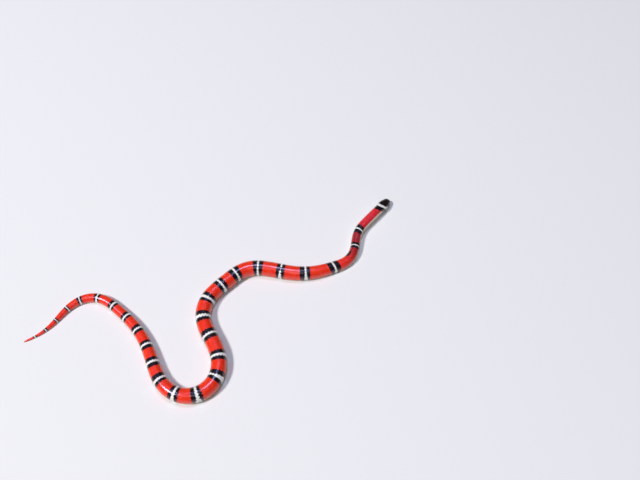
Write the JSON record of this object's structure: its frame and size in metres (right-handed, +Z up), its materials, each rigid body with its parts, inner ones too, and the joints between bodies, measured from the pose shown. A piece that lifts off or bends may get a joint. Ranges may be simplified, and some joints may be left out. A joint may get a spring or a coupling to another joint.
{
  "type": "milk snake",
  "caption": "Still life-size model of a young milk snake lying in loose curves, with red, black and white rings, a raised neck and a tapered tail.",
  "frame": {"origin": "middle of the body's outline seen from above, at the level of the floor it lies on", "axes": "+X along the longest side of that outline, from the tail tip towards the head, +Y away from the viewer of the picture, +Z up"},
  "size_m": [0.1815, 0.1145, 0.007],
  "materials": {
    "black_scale": "glossy black scales of the head",
    "ringed_scale": "glossy red scales with rings of black, white and black",
    "eye": "wet, near black"
  },
  "bodies": {
    "root": {"head": "black_scale", "eye_left": "eye", "eye_right": "eye", "neck": "ringed_scale", "torso_1": "ringed_scale", "torso_2": "ringed_scale", "torso_3": "ringed_scale", "torso_4": "ringed_scale", "torso_5": "ringed_scale", "torso_6": "ringed_scale", "tail": "ringed_scale"}
  },
  "joints": []
}
